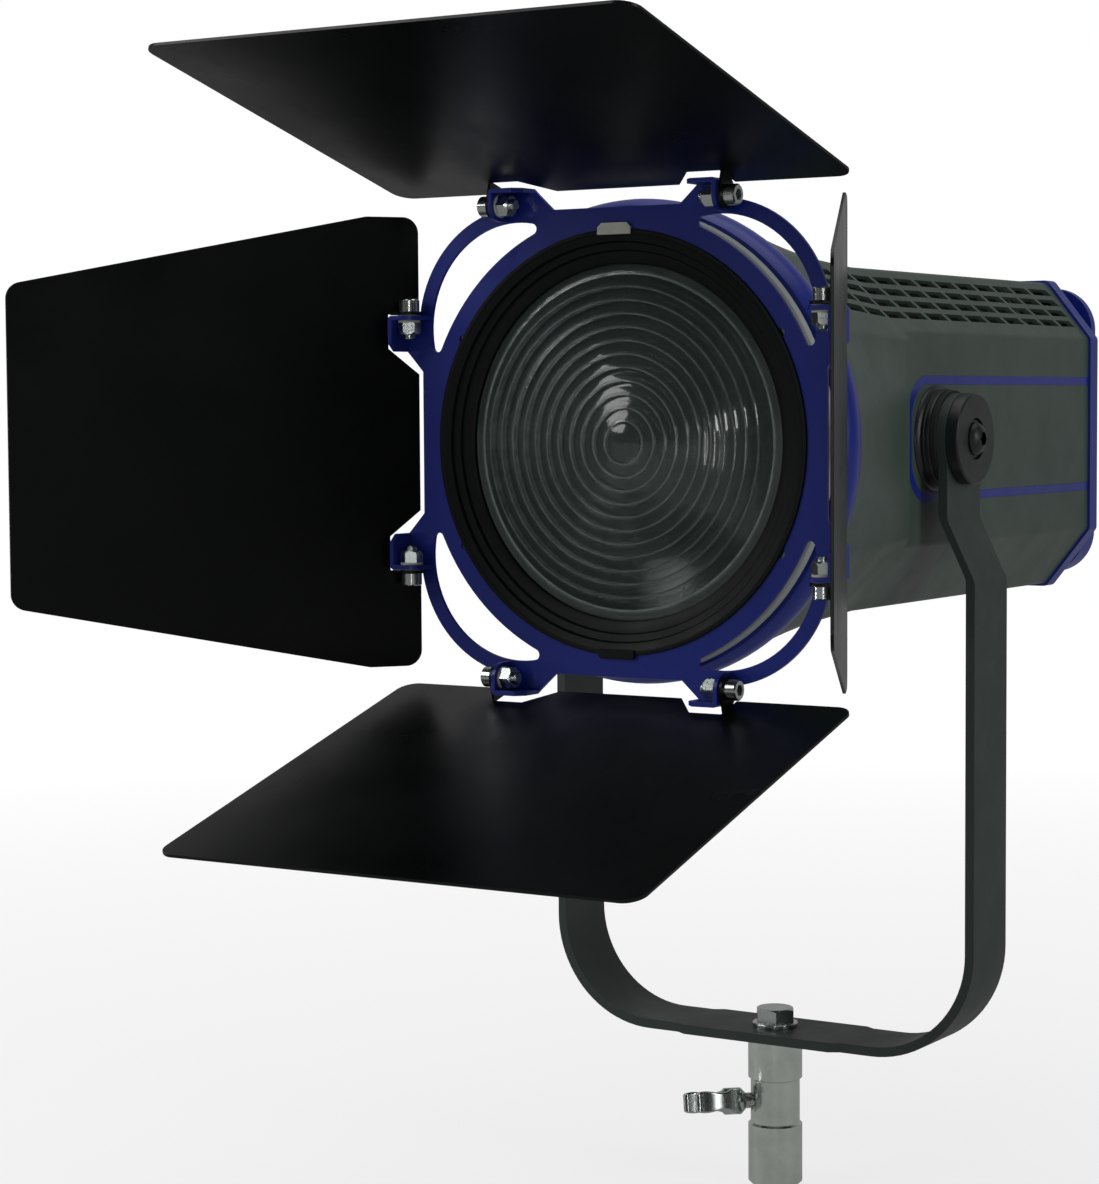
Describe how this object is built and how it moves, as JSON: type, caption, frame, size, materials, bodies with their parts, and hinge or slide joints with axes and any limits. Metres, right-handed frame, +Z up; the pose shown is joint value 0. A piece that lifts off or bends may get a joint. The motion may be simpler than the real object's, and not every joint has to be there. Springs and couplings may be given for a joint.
{
  "type": "fresnel spotlight",
  "caption": "Focusing studio spotlight with a stepped lens, rotating barndoor with hinged leaves, tilting yoke and stand spigot.",
  "frame": {"origin": "centre of the spigot's lower face, at the mouth of its stand socket", "axes": "+Z up along the spigot, light leaves along -Y, +X is the lamp's side with the plain pivot cap"},
  "size_m": [0.4467, 0.5873, 0.5716],
  "materials": {
    "blue_paint": "royal blue powder coat",
    "black_sheet": "satin black powder coat on sheet",
    "yoke_black": "satin black powder coat on steel bar",
    "housing_grey": "dark grey textured powder coat",
    "bezel_black": "matt black",
    "snout_grey": "pale grey satin paint",
    "pivot_grey": "dark grey satin",
    "stainless": "turned and polished",
    "chrome_hardware": "bright plated",
    "zinc": "zinc plated sheet",
    "glass": "clear pressed glass",
    "black_plastic": "fine moulded texture",
    "nylon": "natural nylon",
    "fibre": "pressed friction fibre",
    "gasket": "silicone",
    "steel": "ground steel",
    "sheet_metal": "bare sheet",
    "bronze": "sintered bronze",
    "copper": "copper board with phosphor",
    "reflector": "bright spun aluminium",
    "circuit_board": "green solder mask",
    "display": "smoked window"
  },
  "bodies": {
    "yoke": {"yoke": "yoke_black", "pivot_bushings": "nylon", "yoke_bolt": "chrome_hardware", "yoke_bolt_washer": "chrome_hardware", "spigot": "stainless"},
    "wing_screw": {"wing_screw": "chrome_hardware"},
    "head": {"housing_shell": "housing_grey", "stripe_right": "blue_paint", "stripe_left": "blue_paint", "front_ring": "blue_paint", "snout_ring": "snout_grey", "lens_bezel": "bezel_black", "fresnel_lens": "glass", "lens_gasket": "gasket", "lens_retainer": "sheet_metal", "clip_top": "zinc", "clip_bottom": "bezel_black", "front_bulkhead": "sheet_metal", "rear_bulkhead": "sheet_metal", "guide_rods": "steel", "pivot_boss_right": "pivot_grey", "pivot_boss_left": "pivot_grey", "friction_washers": "fibre", "pivot_cap": "pivot_grey", "pivot_screw": "pivot_grey", "tilt_stud": "steel", "rear_bezel": "blue_paint", "rear_panel": "housing_grey", "panel_screws": "chrome_hardware", "display_window": "display", "signal_in": "pivot_grey", "signal_out": "pivot_grey", "power_inlet": "black_plastic", "rear_guard": "blue_paint", "driver_board": "circuit_board", "power_supply": "sheet_metal"},
    "tilt_knob": {"tilt_lock_knob": "black_plastic"},
    "barndoor": {"barndoor_frame": "blue_paint", "hinge_screws": "chrome_hardware", "hinge_nuts": "chrome_hardware", "hinge_washers": "nylon"},
    "leaf_top": {"leaf_top": "black_sheet"},
    "leaf_bottom": {"leaf_bottom": "black_sheet"},
    "leaf_right": {"leaf_right": "black_sheet"},
    "leaf_left": {"leaf_left": "black_sheet"},
    "carriage": {"carriage_plate": "sheet_metal", "carriage_bushings": "bronze", "lead_nut": "bronze", "led_module": "copper", "reflector": "reflector", "heat_sink": "sheet_metal", "fan_frame": "black_plastic"},
    "fan": {"fan_rotor": "black_plastic"},
    "focus_drive": {"focus_knob": "black_plastic", "lead_screw": "steel"},
    "dimmer": {"dimmer_knob": "black_plastic"},
    "menu_button": {"button_menu": "black_plastic"},
    "down_button": {"button_down": "black_plastic"},
    "up_button": {"button_up": "black_plastic"},
    "enter_button": {"button_enter": "black_plastic"}
  },
  "joints": [
    {"name": "head_tilt", "type": "hinge", "parent": "yoke", "child": "head", "pos_m": [0, 0, 0.3945], "axis": [1, 0, 0], "range_deg": [-90, 28]},
    {"name": "barndoor_turn", "type": "hinge", "parent": "head", "child": "barndoor", "pos_m": [0, -0.16, 0.3945], "axis": [0, 1, 0], "continuous": true},
    {"name": "top_leaf_hinge", "type": "hinge", "parent": "barndoor", "child": "leaf_top", "pos_m": [0, -0.168, 0.5085], "axis": [-1, 0, 0], "range_deg": [-27.6, 39.4]},
    {"name": "bottom_leaf_hinge", "type": "hinge", "parent": "barndoor", "child": "leaf_bottom", "pos_m": [0, -0.168, 0.2805], "axis": [1, 0, 0], "range_deg": [-28.9, 38.1]},
    {"name": "right_leaf_hinge", "type": "hinge", "parent": "barndoor", "child": "leaf_right", "pos_m": [0.114, -0.168, 0.3945], "axis": [0, 0, 1], "range_deg": [-58, 30]},
    {"name": "left_leaf_hinge", "type": "hinge", "parent": "barndoor", "child": "leaf_left", "pos_m": [-0.114, -0.168, 0.3945], "axis": [0, 0, -1], "range_deg": [-69.6, 18.4]},
    {"name": "tilt_lock_turn", "type": "hinge", "parent": "head", "child": "tilt_knob", "pos_m": [-0.115, 0, 0.3945], "axis": [-1, 0, 0], "range_deg": [0, 270]},
    {"name": "wing_screw_turn", "type": "hinge", "parent": "yoke", "child": "wing_screw", "pos_m": [0, 0, 0.0445], "axis": [-0.7513, -0.66, 0], "range_deg": [0, 360]},
    {"name": "focus_turn", "type": "hinge", "parent": "head", "child": "focus_drive", "pos_m": [0, 0.21, 0.3385], "axis": [0, 1, 0], "range_deg": [-1081, 721]},
    {"name": "carriage_slide", "type": "slide", "parent": "head", "child": "carriage", "axis": [0, 1, 0], "range_m": [-0.039, 0.026]},
    {"name": "fan_spin", "type": "hinge", "parent": "carriage", "child": "fan", "pos_m": [0, 0.065, 0.3945], "axis": [0, 1, 0], "continuous": true},
    {"name": "dimmer_turn", "type": "hinge", "parent": "head", "child": "dimmer", "pos_m": [0.052, 0.215, 0.4325], "axis": [0, 1, 0], "continuous": true},
    {"name": "menu_press", "type": "slide", "parent": "head", "child": "menu_button", "axis": [0, -1, 0], "range_m": [0, 0.001], "stiffness_N_per_m": 300},
    {"name": "down_press", "type": "slide", "parent": "head", "child": "down_button", "axis": [0, -1, 0], "range_m": [0, 0.001], "stiffness_N_per_m": 300},
    {"name": "up_press", "type": "slide", "parent": "head", "child": "up_button", "axis": [0, -1, 0], "range_m": [0, 0.001], "stiffness_N_per_m": 300},
    {"name": "enter_press", "type": "slide", "parent": "head", "child": "enter_button", "axis": [0, -1, 0], "range_m": [0, 0.001], "stiffness_N_per_m": 300}
  ],
  "couplings": [
    {"joint": "focus_turn", "follows": "carriage_slide", "rad_per_m": 483.32}
  ]
}
